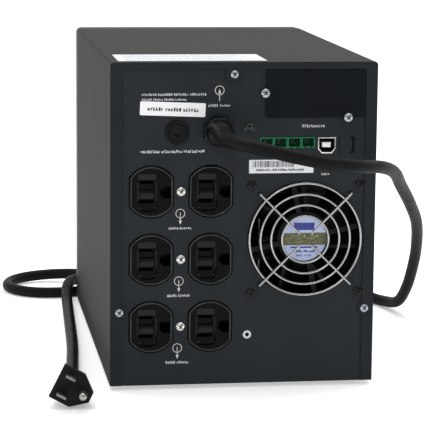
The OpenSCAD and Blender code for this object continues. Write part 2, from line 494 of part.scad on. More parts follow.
module battery_leads() place() color("#a32020") {
  lx = bay_l + 1.6 + bat[0] + 3.2;
  up = [0, 0, 1]; right = [1, 0, 0];
  for (i = [0, 1]) tube([[lx, tab_y[1], tab_z(i) + 0.8], [lx, tab_y[1], tab_z(i) + 12], [lx, tab_y[1] - 4, tab_z(i) + 33], [lx, tab_y[1], tab_z(i) + 54], [lx, tab_y[1], tab_z(i) + bat[2]]], 1.5, 10, 8, up, up);
  tube([[lx, tab_y[0], tab_z(0) + 0.8], [lx, tab_y[0], tab_z(0) + 14], [lx, tab_y[0] + 20, tab_z(0) + 44], [lx, bat_y + 84, 100], [lx, frame_y - 60, 140], [lx + 2, frame_y - 45, 163], [lx + 14, frame_y - 41, 167], [lx + 40, frame_y - 40, 170], [82.4, frame_y - 40, 172]], 1.5, 24, 8, up, right);
  tube([[lx, tab_y[1], tab_z(2) + 0.8], [lx, tab_y[1], tab_z(2) + 6], [lx + 1, frame_y - 27, 162], [lx + 12, frame_y - 33, 161], [lx + 40, frame_y - 34, 160], [82.4, frame_y - 34, 160]], 1.5, 16, 8, up, right);
}
module battery_retainer() place() color("#8a8d90") difference() {
  xz(frame_y + sheet, frame_y + 2*sheet) translate([(bay_l + bay_r)/2 + 5, 74]) rr(bay_r - bay_l + 8, 108, 3);
  for (p = retain_at) ycyl(p[0], p[1], frame_y, frame_y + 5, 1.7, fn = 32);
  for (z = [50, 98]) xz(frame_y, frame_y + 5) translate([-34, z]) rr(34, 10, 4.9);
}
module retainer_screws() place() color("#b9bcc0") for (p = retain_at) translate([0, 2*(frame_y + 2*sheet), 0]) mirror([0, 1, 0]) pan_screw(p[0], p[1], frame_y + 2*sheet, 2.7, 1.6, 5, 1.4);

// ---------- front ----------
bz = [skirt_top, z1];
win = [43, 176, 50, 30];   // display window: x, z, width, height
btn = [[31, 146], [55, 146]];
btn_size = [18, 10];
module bezel_2d(g) difference() {
  translate([0, (z0 + z1)/2]) rr(body_w - 2*g, body_h - 2*g, bend_r + 1.6 - g > 0.8 ? bend_r + 1.6 - g : 0.8);
  translate([-hw - 5, z0 - 5]) square([body_w + 10, skirt_top - z0 + 5 + g]);
}
module front_bezel() place() color("#26272a") difference() {
  union() {
    xz(cover_len + 0.2, body_d - 2) difference() { bezel_2d(0); translate([0, 0]) bezel_2d(2.6); }
    xz(body_d - 4.6, body_d - 2) bezel_2d(0);
    xz(body_d - 2, body_d - 1) bezel_2d(1);
    xz(body_d - 1.01, body_d) bezel_2d(2.4);
    for (p = tongue_at) { box([p[0] - 4, frame_y - 6, p[1] - 1.5], [p[0] + 4, body_d - 4.5, p[1] + 1.5]); }
    for (b = btn) translate([b[0], 0, b[1]]) xz(body_d - 9, body_d - 4.5) difference() { rr(btn_size[0] + 4, btn_size[1] + 4, 3); rr(btn_size[0] + 0.6, btn_size[1] + 0.6, 1.8); }
  }
  xz(body_d - 6, body_d + 1) {
    translate([win[0], win[1]]) rr(win[2] - 3, win[3] - 3, 2);
    for (b = btn) translate(b) rr(btn_size[0] + 0.6, btn_size[1] + 0.6, 1.8);
    for (i = [0:8], j = [-1, 0, 1]) translate([j*50, 34 + i*11]) rr(42, 3.4, 1.6);
    for (i = [9:15]) translate([-50, 34 + i*11]) rr(42, 3.4, 1.6);
  }
  xz(body_d - 1.6, body_d + 1) translate([win[0], win[1]]) rr(win[2] + 0.4, win[3] + 0.4, 2.4);
}
module display_window() place() color("#16181c") xz(body_d - 1.6, body_d - 0.1) translate([win[0], win[1]]) rr(win[2], win[3], 2.2);
module display_board() place() color("#1f5a34") {
  y0 = frame_y + 2*sheet + 1.4;
  box([16, y0, 136], [70, y0 + 1.6, 192]);
  for (x = [20, 66], z = [139, 189]) ycyl(x, z, frame_y + sheet, y0, 2, fn = 24);
  for (b = btn) box([b[0] - 3, y0 + 1.6, b[1] - 3], [b[0] + 3, y0 + 4.6, b[1] + 3]);
}
led_at = concat([for (i = [0:4]) [25, 164 + i*6]], [for (i = [0:4]) [43, 164 + i*6]], [for (i = [0:2]) [59, 166 + i*9]]);
module status_leds() place() color("#8fbf4f") { y0 = frame_y + 2*sheet + 3; for (p = led_at) { ycyl(p[0], p[1], y0, y0 + 3, 1.5, fn = 24); translate([p[0], y0 + 3, p[1]]) sphere(1.5, $fn = 24); } }
module button(b) place() color("#3a3c40") translate([b[0], 0, b[1]]) {
  xz(body_d - 9.4, body_d) rr(btn_size[0], btn_size[1], 1.5);
  xz(body_d - 10.6, body_d - 9.3) rr(btn_size[0] + 2.6, btn_size[1] + 2.6, 2);
  ycyl(0, 0, body_d - 13.6, body_d - 10.5, 2, fn = 32);
}
module on_button() button(btn[0]);
module off_button() button(btn[1]);

base_pan();
rear_panel();
top_cover();
cover_screws();
front_frame();
divider_wall();
front_skirt();
rubber_feet();
slot_cover_plate();
slot_plate_screws();
card_guides();
outlet_upper();
outlet_middle();
outlet_lower();
outlet_contacts();
outlet_screws();
fan_frame();
fan_rotor();
fan_label();
fan_guard();
fan_rivets();
breaker_body();
breaker_nut();
breaker_button();
strain_relief();
power_cord();
plug_body();
plug_blades();
eyelet_clip();
earth_insert();
terminal_headers();
terminal_pins();
usb_shell();
usb_tongue();
port_blank();
interface_board();
model_label();
barcode_label();
top_label();
main_board();
heatsinks();
transformer_core();
transformer_winding();
bulk_capacitors();
relays();
outlet_wiring();
battery_tray();
battery_lower();
battery_middle();
battery_upper();
battery_tabs();
battery_leads();
battery_retainer();
retainer_screws();
front_bezel();
display_window();
display_board();
status_leds();
on_button();
off_button();
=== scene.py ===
import bpy, bmesh, math, json, random
from mathutils import Vector, Matrix


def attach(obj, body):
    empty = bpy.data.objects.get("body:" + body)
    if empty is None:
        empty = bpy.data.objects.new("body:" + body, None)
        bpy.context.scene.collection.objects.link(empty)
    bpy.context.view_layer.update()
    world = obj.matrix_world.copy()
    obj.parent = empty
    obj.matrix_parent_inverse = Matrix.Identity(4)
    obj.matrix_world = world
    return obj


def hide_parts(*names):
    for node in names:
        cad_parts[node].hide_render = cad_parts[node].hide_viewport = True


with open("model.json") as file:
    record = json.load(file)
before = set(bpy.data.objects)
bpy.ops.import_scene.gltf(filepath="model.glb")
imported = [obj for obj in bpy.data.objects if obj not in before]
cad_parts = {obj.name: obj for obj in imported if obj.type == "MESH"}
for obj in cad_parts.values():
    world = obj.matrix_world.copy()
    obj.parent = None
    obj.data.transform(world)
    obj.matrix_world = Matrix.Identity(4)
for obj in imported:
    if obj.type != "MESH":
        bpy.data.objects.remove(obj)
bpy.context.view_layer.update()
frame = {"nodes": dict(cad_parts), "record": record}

N = frame["nodes"]
MM = 0.001
RY = -147.8              # millimetres: the case's rear edge in the row frame
FAN = (41.0, 99.2)
ROWS = (131.7, 86.9, 42.1)
OUTLET_X, FACE_PITCH = -41.1, 38.9


def V(x, y, z):
    """A point given in millimetres from the rear edge of the case, in the row frame, in metres."""
    return Vector((x * MM, (y + RY) * MM, z * MM))


# ---------------------------------------------------------------- camera
az, el, roll = math.radians(-8.06), math.radians(9.49), math.radians(0.53)
back = Vector((math.sin(az) * math.cos(el), -math.cos(az) * math.cos(el), math.sin(el)))
right = (-back).cross(Vector((0, 0, 1))).normalized()
up = right.cross(-back).normalized()
r2 = right * math.cos(roll) + up * math.sin(roll)
u2 = -right * math.sin(roll) + up * math.cos(roll)
cam_data = bpy.data.cameras.new("camera")
cam_data.sensor_fit = "HORIZONTAL"
cam_data.sensor_width = 36.0
cam_data.lens = 36.0 * 2077.13 / 427.0
cam_data.clip_start, cam_data.clip_end = 0.05, 50.0
cam = bpy.data.objects.new("camera", cam_data)
m = Matrix((r2, u2, back)).transposed().to_4x4()
m.translation = V(-207.04, -1321.0, 340.27)
cam.matrix_world = m
bpy.context.scene.collection.objects.link(cam)
bpy.context.scene.camera = cam


# ---------------------------------------------------------------- materials
def material(name, color, rough=0.5, metal=0.0, spec=0.5, vary=0.08, vary_scale=30.0, grain=None, rough_vary=0.06,
             coat=0.0, coat_rough=0.1, scratches=0.0, dust=0.0, streak=None):
    """A finish made of noise: slow colour and gloss variation, a fine grain as bump, and optional dust and brushing.
    scratches is not used.
    """
    mt = bpy.data.materials.new(name)
    mt.use_nodes = True
    nt = mt.node_tree
    b = nt.nodes["Principled BSDF"]
    b.inputs["Metallic"].default_value = metal
    b.inputs["Specular IOR Level"].default_value = spec
    b.inputs["Coat Weight"].default_value = coat
    b.inputs["Coat Roughness"].default_value = coat_rough
    tc = nt.nodes.new("ShaderNodeTexCoord")
    co = tc.outputs["Object"]
    if streak:
        mp = nt.nodes.new("ShaderNodeMapping")
        mp.inputs["Scale"].default_value = streak
        nt.links.new(co, mp.inputs["Vector"])
        fine_co = mp.outputs["Vector"]
    else:
        fine_co = co
    n1 = nt.nodes.new("ShaderNodeTexNoise")
    n1.inputs["Scale"].default_value = vary_scale
    n1.inputs["Detail"].default_value = 5.0
    n1.inputs["Roughness"].default_value = 0.6
    nt.links.new(co, n1.inputs["Vector"])
    ramp = nt.nodes.new("ShaderNodeMapRange")
    ramp.inputs["From Min"].default_value = 0.3
    ramp.inputs["From Max"].default_value = 0.7
    ramp.inputs["To Min"].default_value = 1.0 - vary
    ramp.inputs["To Max"].default_value = 1.0 + vary
    nt.links.new(n1.outputs["Fac"], ramp.inputs["Value"])
    mul = nt.nodes.new("ShaderNodeMix")
    mul.data_type = "RGBA"
    mul.blend_type = "MULTIPLY"
    mul.inputs["Factor"].default_value = 1.0
    mul.inputs[6].default_value = (*color, 1.0)
    comb = nt.nodes.new("ShaderNodeCombineColor")
    for i in range(3):
        nt.links.new(ramp.outputs["Result"], comb.inputs[i])
    nt.links.new(comb.outputs["Color"], mul.inputs[7])
    colour = mul.outputs[2]
    if dust:
        n3 = nt.nodes.new("ShaderNodeTexNoise")
        n3.inputs["Scale"].default_value = 900.0
        n3.inputs["Detail"].default_value = 2.0
        nt.links.new(co, n3.inputs["Vector"])
        r3 = nt.nodes.new("ShaderNodeMapRange")
        r3.inputs["From Min"].default_value = 0.62
        r3.inputs["From Max"].default_value = 0.74
        r3.inputs["To Min"].default_value = 0.0
        r3.inputs["To Max"].default_value = dust
        nt.links.new(n3.outputs["Fac"], r3.inputs["Value"])
        mx = nt.nodes.new("ShaderNodeMix")
        mx.data_type = "RGBA"
        nt.links.new(r3.outputs["Result"], mx.inputs["Factor"])
        nt.links.new(colour, mx.inputs[6])
        mx.inputs[7].default_value = (0.32, 0.31, 0.29, 1.0)
        colour = mx.outputs[2]
    nt.links.new(colour, b.inputs["Base Color"])
    rr = nt.nodes.new("ShaderNodeMapRange")
    rr.inputs["From Min"].default_value = 0.25
    rr.inputs["From Max"].default_value = 0.75
    rr.inputs["To Min"].default_value = max(0.02, rough - rough_vary)
    rr.inputs["To Max"].default_value = min(1.0, rough + rough_vary)
    n2 = nt.nodes.new("ShaderNodeTexNoise")
    n2.inputs["Scale"].default_value = vary_scale * 3.1
    n2.inputs["Detail"].default_value = 3.0
    nt.links.new(fine_co, n2.inputs["Vector"])
    nt.links.new(n2.outputs["Fac"], rr.inputs["Value"])
    rough_out = rr.outputs["Result"]
    height = None
    if grain:
        scale, strength, dist = grain
        g = nt.nodes.new("ShaderNodeTexNoise")
        g.inputs["Scale"].default_value = scale
        g.inputs["Detail"].default_value = 3.0
        g.inputs["Roughness"].default_value = 0.55
        nt.links.new(fine_co, g.inputs["Vector"])
        bp = nt.nodes.new("ShaderNodeBump")
        bp.inputs["Strength"].default_value = strength
        bp.inputs["Distance"].default_value = dist
        nt.links.new(g.outputs["Fac"], bp.inputs["Height"])
        nt.links.new(bp.outputs["Normal"], b.inputs["Normal"])
    nt.links.new(rough_out, b.inputs["Roughness"])
    return mt


def lin(h):
    """Linear colour of a hex colour."""
    v = [int(h[i:i + 2], 16) / 255 for i in (0, 2, 4)]
    return tuple(x / 12.92 if x <= 0.04045 else ((x + 0.055) / 1.055) ** 2.4 for x in v)


M = {
    "cover": material("cover_paint", (0.0225, 0.0225, 0.0212), rough=0.66, spec=0.075, vary=0.03, vary_scale=6, rough_vary=0.015, grain=(1100, 0.18, 0.00010), dust=0.02),
    "panel": material("panel_paint", (0.0142, 0.0182, 0.0222), rough=0.60, spec=0.16, vary=0.10, vary_scale=26, grain=(900, 0.15, 0.00008), dust=0.03),
    # a darker, bluish copy of the cover paint for the cover's rear faces: painted shade, the same paint as its top and
    # sides
    "flange": material("cover_flange_painted_shade", (0.0108, 0.0142, 0.0170), rough=0.60, spec=0.16, vary=0.10, vary_scale=26, grain=(900, 0.15, 0.00008), dust=0.03),
    "plate": material("plate_paint", (0.0044, 0.0062, 0.0086), rough=0.62, spec=0.08, vary=0.10, vary_scale=26, grain=(900, 0.15, 0.00008), dust=0.03),
    "zinc": material("zinc", (0.42, 0.445, 0.49), rough=0.27, metal=1.0, vary=0.10, vary_scale=500, grain=(2600, 0.2, 0.00003)),
    "nickel": material("nickel", (0.74, 0.73, 0.70), rough=0.22, metal=1.0, vary=0.06, vary_scale=300, grain=(1800, 0.12, 0.00003)),
    "guardwire": material("guard_wire", (0.40, 0.40, 0.395), rough=0.26, metal=1.0, vary=0.10, vary_scale=300, grain=(1800, 0.12, 0.00003)),
    "steel": material("galvanised", (0.42, 0.43, 0.44), rough=0.42, metal=1.0, vary=0.14, vary_scale=60, grain=(400, 0.15, 0.00005)),
    "greymetal": material("grey_metal", (0.060, 0.064, 0.061), rough=0.50, metal=1.0, vary=0.12, vary_scale=300, grain=(2000, 0.2, 0.00003)),
    "blade": material("blade_metal", (0.34, 0.33, 0.31), rough=0.28, metal=1.0, vary=0.10, vary_scale=200, grain=(2000, 0.12, 0.00003)),
    "brass": material("brass", (0.62, 0.47, 0.23), rough=0.30, metal=1.0, vary=0.10, vary_scale=200, grain=(2000, 0.12, 0.00003)),
    "socket": material("socket_gloss", (0.0014, 0.0018, 0.0019), rough=0.22, spec=0.06, vary=0.12, vary_scale=60, grain=(900, 0.05, 0.00004)),
    "rim": material("socket_rim", (0.0020, 0.0024, 0.0024), rough=0.16, spec=0.50, vary=0.12, vary_scale=60, grain=(900, 0.05, 0.00004)),
    # socket plastic made lighter for the pads and strips on the faces: painted sheen of the recess surfaces
    "pad_sheen": material("socket_painted_sheen", (0.0110, 0.0100, 0.0092), rough=0.40, spec=0.16, vary=0.15, vary_scale=120, grain=(1200, 0.10, 0.00004)),
    # brass of the socket contacts and header pins darkened to near black: painted shade of the slots and cavities they
    # sit in
    "contact": material("contact_painted_shade", (0.030, 0.026, 0.018), rough=0.45, metal=1.0, vary=0.10, vary_scale=200, grain=(1500, 0.1, 0.00003)),
    "black": material("black_plastic", (0.0050, 0.0055, 0.0060), rough=0.38, spec=0.25, vary=0.10, vary_scale=60, grain=(1600, 0.2, 0.00005)),
    "jet": material("jet_plastic", (0.0022, 0.0028, 0.0030), rough=0.28, spec=0.12, vary=0.12, vary_scale=60, grain=(1200, 0.10, 0.00004)),
    "gland": material("gland_nylon", (0.0024, 0.0030, 0.0032), rough=0.26, spec=0.20, vary=0.12, vary_scale=60, grain=(1200, 0.10, 0.00004)),
    "nylon": material("black_nylon", (0.0042, 0.0048, 0.0052), rough=0.30, spec=0.20, vary=0.10, vary_scale=60, grain=(1200, 0.15, 0.00005)),
    "fanblack": material("fan_plastic", (0.0036, 0.0046, 0.0043), rough=0.40, spec=0.14, vary=0.10, vary_scale=60, grain=(1600, 0.2, 0.00005)),
    "cord": material("cord_jacket", (0.0088, 0.0090, 0.0086), rough=0.42, spec=0.03, vary=0.12, vary_scale=45, grain=(1300, 0.10, 0.00005), dust=0.0),
    "plug": material("plug_moulding", (0.0045, 0.0055, 0.0065), rough=0.42, spec=0.14, vary=0.10, vary_scale=45, grain=(1600, 0.22, 0.00006), dust=0.04),
    "foot": material("foot_rubber", (0.012, 0.012, 0.012), rough=0.8, spec=0.3, vary=0.1, vary_scale=80, grain=(900, 0.4, 0.0001)),
    "green": material("header_green", lin("1b6a46"), rough=0.42, spec=0.25, vary=0.08, vary_scale=120, grain=(1500, 0.1, 0.00004)),
    "white": material("white_plastic", (0.84, 0.84, 0.81), rough=0.45, vary=0.03, vary_scale=80, grain=(1500, 0.1, 0.00004)),
    "label": material("label_white", (0.88, 0.89, 0.89), rough=0.42, spec=0.4, vary=0.02, vary_scale=40, grain=(900, 0.05, 0.00003)),
    "silver": material("label_silver", (0.66, 0.68, 0.71), rough=0.38, spec=0.5, vary=0.05, vary_scale=60, grain=(900, 0.08, 0.00003)),
    "ink": material("white_ink", (0.66, 0.67, 0.67), rough=0.55, vary=0.08, vary_scale=400, grain=(3000, 0.2, 0.00002)),
    "inkdark": material("dark_ink", (0.035, 0.035, 0.045), rough=0.5, vary=0.1, vary_scale=400, grain=(3000, 0.2, 0.00002)),
    "board": material("solder_mask", (0.012, 0.075, 0.028), rough=0.30, spec=0.5, vary=0.15, vary_scale=180, grain=(500, 0.1, 0.00005)),
    "alu": material("anodised_aluminium", (0.030, 0.031, 0.033), rough=0.50, metal=0.3, vary=0.06, vary_scale=50, grain=(600, 0.25, 0.00005), streak=(1, 0.02, 1)),
    "core": material("laminated_steel", (0.10, 0.10, 0.11), rough=0.5, metal=0.9, vary=0.1, vary_scale=60, grain=(1400, 0.6, 0.0001), streak=(0.02, 1, 1)),
    "copper": material("enamelled_copper", (0.50, 0.22, 0.07), rough=0.32, metal=0.9, vary=0.12, vary_scale=120, grain=(900, 0.5, 0.0002), streak=(1, 1, 0.05)),
    "sleeve": material("capacitor_sleeve", (0.02, 0.035, 0.13), rough=0.28, vary=0.08, vary_scale=60, grain=(900, 0.06, 0.00004)),
    "battery": material("battery_case", (0.022, 0.023, 0.026), rough=0.5, vary=0.1, vary_scale=40, grain=(900, 0.3, 0.0001)),
    "red": material("red_lead", (0.36, 0.012, 0.012), rough=0.42, vary=0.08, vary_scale=80, grain=(1300, 0.12, 0.00004)),
    "wire": material("black_lead", (0.012, 0.012, 0.012), rough=0.45, vary=0.08, vary_scale=80, grain=(1300, 0.12, 0.00004)),
    "bezel": material("bezel_plastic", (0.017, 0.017, 0.018), rough=0.5, spec=0.4, vary=0.08, vary_scale=40, grain=(1900, 0.4, 0.00008)),
    "button": material("button_plastic", (0.050, 0.052, 0.056), rough=0.42, vary=0.08, vary_scale=60, grain=(1600, 0.2, 0.00005)),
    "inkbar": material("barcode_ink", (0.030, 0.030, 0.040), rough=0.5, vary=0.1, vary_scale=400, grain=(3000, 0.2, 0.00002)),
    "bluedisc": material("label_pale_blue", (0.47, 0.55, 0.80), rough=0.35, spec=0.5, vary=0.10, vary_scale=260, grain=(900, 0.06, 0.00003)),
    "bluedark": material("label_dark_blue", (0.035, 0.050, 0.26), rough=0.40, spec=0.4, vary=0.15, vary_scale=300, grain=(900, 0.06, 0.00003)),
    "oliveink": material("olive_ink", (0.26, 0.255, 0.13), rough=0.42, spec=0.4, vary=0.3, vary_scale=330, grain=(900, 0.10, 0.00003)),
    "olive": material("label_olive", (0.105, 0.110, 0.045), rough=0.42, spec=0.4, vary=0.25, vary_scale=330, grain=(900, 0.10, 0.00003)),
    "greyink": material("grey_ink", (0.42, 0.43, 0.45), rough=0.5, vary=0.1, vary_scale=300, grain=(3000, 0.2, 0.00002)),
    "window": material("smoked_window", (0.003, 0.0035, 0.0045), rough=0.11, spec=0.16, vary=0.05, vary_scale=40, coat=0.06, coat_rough=0.05, grain=(300, 0.02, 0.00003)),
    "darksteel": material("painted_steel", (0.0085, 0.0088, 0.0092), rough=0.55, spec=0.2, vary=0.12, vary_scale=60, grain=(700, 0.2, 0.00006)),
    "mark": material("unlit_mark", (0.20, 0.235, 0.20), rough=0.5, spec=0.3, vary=0.10, vary_scale=300, grain=(2000, 0.15, 0.00002)),
    "lens": material("lamp_lens", (0.25, 0.50, 0.12), rough=0.3, vary=0.06, vary_scale=200, grain=(900, 0.05, 0.00003)),
    "amber": material("lamp_amber", (0.60, 0.30, 0.04), rough=0.3, vary=0.06, vary_scale=200, grain=(900, 0.05, 0.00003)),
}

NODE_MAT = {
    "base_pan": "steel", "rear_panel": "panel", "top_cover": "cover", "cover_screws": "zinc", "front_frame": "darksteel", "divider_wall": "steel",
    "front_skirt": "bezel", "rubber_feet": "foot", "slot_cover_plate": "plate", "slot_plate_screws": "zinc", "card_guides": "black",
    "outlet_upper": "socket", "outlet_middle": "socket", "outlet_lower": "socket", "outlet_contacts": "contact", "outlet_screws": "nickel",
    "fan_frame": "fanblack", "fan_rotor": "fanblack", "fan_label": "bluedisc", "fan_guard": "nickel", "fan_rivets": "nylon",
    "breaker_body": "jet", "breaker_nut": "jet", "breaker_button": "jet", "strain_relief": "nylon", "power_cord": "cord",
    "plug_body": "plug", "plug_blades": "blade", "eyelet_clip": "greymetal", "earth_insert": "zinc", "terminal_headers": "green",
    "terminal_pins": "contact", "usb_shell": "nickel", "usb_tongue": "white", "port_blank": "panel", "interface_board": "board",
    "model_label": "label", "barcode_label": "silver", "top_label": "silver", "main_board": "board", "heatsinks": "alu",
    "transformer_core": "core", "transformer_winding": "copper", "bulk_capacitors": "sleeve", "relays": "black", "outlet_wiring": "wire",
    "battery_tray": "steel", "battery_lower": "battery", "battery_middle": "battery", "battery_upper": "battery", "battery_tabs": "brass",
    "battery_leads": "red", "battery_retainer": "darksteel", "retainer_screws": "zinc", "front_bezel": "bezel", "display_window": "window",
    "display_board": "board", "status_leds": "lens", "on_button": "button", "off_button": "button",
}
BODY = {}
for b, ns in frame["record"]["behaviour"]["bodies"].items():
    for n in ns:
        BODY[n] = b


def put(o, key):
    mt = M[key]
    o.data.materials.clear()
    o.data.materials.append(mt)
    for p in o.data.polygons:
        p.material_index = 0


for n, key in NODE_MAT.items():
    put(N[n], key)


# ---------------------------------------------------------------- mesh helpers
def link(o):
    bpy.context.scene.collection.objects.link(o)
    return o


def from_bmesh(name, bm, mat_key, body, sharp=35.0):
    me = bpy.data.meshes.new(name)
    bmesh.ops.recalc_face_normals(bm, faces=bm.faces)
    bm.to_mesh(me)
    bm.free()
    o = link(bpy.data.objects.new(name, me))
    me.materials.append(M[mat_key])
    me.shade_smooth()
    me.set_sharp_from_angle(angle=math.radians(sharp))
    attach(o, body)
    return o


def tube_mesh(bm, pts, radius, sides, start=None, end=None, cap=True):
    """A tube along the points, its rings turned with the curve so that it doesn't twist. radius is a number or a list."""
    n = len(pts)
    tan = [(pts[min(i + 1, n - 1)] - pts[max(i - 1, 0)]).normalized() for i in range(n)]
    if start is not None:
        tan[0] = start
    if end is not None:
        tan[-1] = end
    a = tan[0].cross(Vector((0, 0, 1)))
    if a.length < 1e-3:
        a = tan[0].cross(Vector((1, 0, 0)))
    a.normalize()
    rings = []
    for i in range(n):
        if i:
            q = tan[i - 1].rotation_difference(tan[i])
            a = q @ a
            a = (a - tan[i] * a.dot(tan[i])).normalized()
        b = tan[i].cross(a)
        r = radius[i] if isinstance(radius, (list, tuple)) else radius
        rings.append([bm.verts.new(pts[i] + (a * math.cos(t) + b * math.sin(t)) * r) for t in [2 * math.pi * k / sides for k in range(sides)]])
    for i in range(n - 1):
        for k in range(sides):
            bm.faces.new((rings[i][k], rings[i + 1][k], rings[i + 1][(k + 1) % sides], rings[i][(k + 1) % sides]))
    if cap:
        bm.faces.new(rings[0])
        bm.faces.new(list(reversed(rings[-1])))
    return rings


def catmull(P, per):
    out = []
    n = len(P) - 1
    for i in range(n):
        p1, p2 = P[i], P[i + 1]
        p0 = P[i - 1] if i else 2 * P[0] - P[1]
        p3 = P[i + 2] if i + 2 <= n else 2 * P[n] - P[n - 1]
        for k in range(per):
            t = k / per
            out.append(0.5 * (2 * p1 + (p2 - p0) * t + (2 * p0 - 5 * p1 + 4 * p2 - p3) * t * t + (3 * p1 - p0 - 3 * p2 + p3) * t ** 3))
    out.append(P[n].copy())
    return out


# ---------------------------------------------------------------- the mains lead
ROUTE = [(-17.5, -27, 171), (-17.5, -44, 171), (-12.5, -62, 171), (1, -75.5, 169), (19, -80, 165), (42, -75, 160),
         (64, -61, 156), (83, -38, 152), (98, -8, 144), (111, 28, 130), (127, 67, 111), (142, 108, 90),
         (152, 148, 65), (156, 176, 43), (157, 198, 24), (155.5, 219, 9.5), (150, 243, 4.7), (138, 270, 4.3),
         (118, 298, 4.3), (88, 322, 4.3), (50, 336, 4.3), (10, 338, 4.3), (-28, 329, 4.3), (-58, 315.5, 4.3),
         (-84, 305.2, 4.3), (-107.3, 301.9, 4.3), (-123.8, 306.3, 4.3), (-135.9, 318.4, 4.3), (-140.3, 334.9, 4.4),
         (-135.9, 351.4, 4.7), (-123.8, 363.5, 5.2), (-107.3, 367.9, 6), (-90.8, 363.5, 7.3), (-78.7, 351.4, 9),
         (-74.3, 334.9, 11), (-78.7, 318.4, 12.8), (-87.6, 307.2, 13.6), (-92.8, 298.2, 13.2), (-95.6, 287, 11.2),
         (-96.8, 273, 8.2), (-97.6, 255, 5.6), (-98.8, 225, 4.5), (-103.5, 120, 4.4), (-107, 70, 4.4),
         (-110, 30, 4.35), (-111, 15, 4.9), (-111.5, 6.5, 5.9)]
CORD_D = 8.4
line = catmull([V(*p) for p in ROUTE], 10)
bm = bmesh.new()
yaw, pitch = math.radians(5), math.radians(9)
tail = Vector((-math.sin(yaw) * math.cos(pitch), -math.cos(yaw) * math.cos(pitch), math.sin(pitch)))
run, radii = 0.0, []
for i, p in enumerate(line):
    if i:
        run += (line[i] - line[i - 1]).length
    t = min(1.0, run / (34 * MM))
    sleeve = 2.3 * (1 - t) ** 1.3 + (0.22 if 0.004 < run < 0.034 and int(run / 0.0034) % 2 else 0.0)
    radii.append((CORD_D / 2 + sleeve) * MM)
tube_mesh(bm, line, radii, 28, start=Vector((0, -1, 0)), end=tail)
lead = from_bmesh("mains_lead", bm, "cord", BODY["power_cord"], sharp=60)
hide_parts("power_cord")


# ---------------------------------------------------------------- softened copies of the CAD pieces
def soften(node, name, width=0.3, segs=2, angle=32, mat=None, dissolve=0.0, sharp=28, weld=0.002):
    """A copy of the CAD node's mesh with its flat faces made whole, its edges rounded over and its round walls smooth."""
    src = N[node]
    me = src.data.copy()
    me.name = name
    bm = bmesh.new()
    bm.from_mesh(me)
    bmesh.ops.remove_doubles(bm, verts=bm.verts, dist=weld * MM)
    if dissolve:
        bmesh.ops.dissolve_limit(bm, angle_limit=math.radians(dissolve), verts=bm.verts, edges=bm.edges, delimit={"NORMAL"})
    bm.to_mesh(me)
    bm.free()
    for a in ("custom_normal",):
        if a in me.attributes:
            me.attributes.remove(me.attributes[a])
    o = link(bpy.data.objects.new(name, me))
    me.materials.clear()
    me.materials.append(M[mat or NODE_MAT[node]])
    for p in me.polygons:
        p.material_index = 0
    me.shade_smooth()
    me.set_sharp_from_angle(angle=math.radians(sharp))
    if width:
        b = o.modifiers.new("round", "BEVEL")
        b.width = width * MM
        b.segments = segs
        b.limit_method = "ANGLE"
        b.angle_limit = math.radians(angle)
        b.use_clamp_overlap = True
        b.miter_outer = "MITER_ARC"
        b.harden_normals = True
    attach(o, BODY[node])
    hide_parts(node)
    return o


def bevel(o, width, segs=2, angle=32):
    b = o.modifiers.new("round", "BEVEL")
    b.width = width * MM
    b.segments = segs
    b.limit_method = "ANGLE"
    b.angle_limit = math.radians(angle)
    b.harden_normals = True
    return o


# ---------------------------------------------------------------- thin printed pieces
def prism(bm, pts, y0, y1):
    """A flat piece drawn in X and Z, in millimetres, between y0 and y1."""
    a = [bm.verts.new(V(x, y0, z)) for x, z in pts]
    b = [bm.verts.new(V(x, y1, z)) for x, z in pts]
    bm.faces.new(a)
    bm.faces.new(list(reversed(b)))
    n = len(pts)
    for i in range(n):
        bm.faces.new((a[i], b[i], b[(i + 1) % n], a[(i + 1) % n]))


def ring(bm, cx, cz, r0, r1, y0, y1, seg=48):
    v = [[bm.verts.new(V(cx + r * math.cos(t), y, cz + r * math.sin(t))) for t in [2 * math.pi * k / seg for k in range(seg)]] for r, y in ((r1, y0), (r0, y0), (r0, y1), (r1, y1))]
    for a in range(4):
        for k in range(seg):
            bm.faces.new((v[a][k], v[(a + 1) % 4][k], v[(a + 1) % 4][(k + 1) % seg], v[a][(k + 1) % seg]))


def rect(x0, x1, z0, z1):
    return [(x0, z0), (x1, z0), (x1, z1), (x0, z1)]


def turned(pts, cx, cz, deg):
    c, s = math.cos(math.radians(deg)), math.sin(math.radians(deg))
    return [(cx + (x - cx) * c - (z - cz) * s, cz + (x - cx) * s + (z - cz) * c) for x, z in pts]


def blocks(bm, x0, x1, z, h, y0, y1, seed, words=3, deg=0.0, about=None, w0=0.25):
    """A line of small upright strokes and bars that stands for lettering without being any."""
    rng = random.Random(seed)
    x = x0
    n = max(4, int((x1 - x0) / (0.78 * h)))
    gaps = {int(n * (k + 1) / words) for k in range(words - 1)}
    step = (x1 - x0) / (n + 0.6 * len(gaps))
    t = w0 * h
    for k in range(n):
        w = step * rng.uniform(0.62, 0.80)
        top = z + h / 2 - (0.0 if rng.random() < 0.6 else 0.24 * h)
        bot = z - h / 2
        parts = [rect(x, x + t, bot, top)]
        kind = rng.randrange(4)
        if kind != 3:
            parts.append(rect(x + w - t, x + w, bot, top if kind else z))
        bar = rng.choice((bot, z - t / 2, top - t))
        parts.append(rect(x, x + w, bar, bar + t))
        for pts in parts:
            if deg:
                pts = turned(pts, about[0], about[1], deg)
            prism(bm, pts, y0, y1)
        x += step * (1.6 if k + 1 in gaps else 1.0)


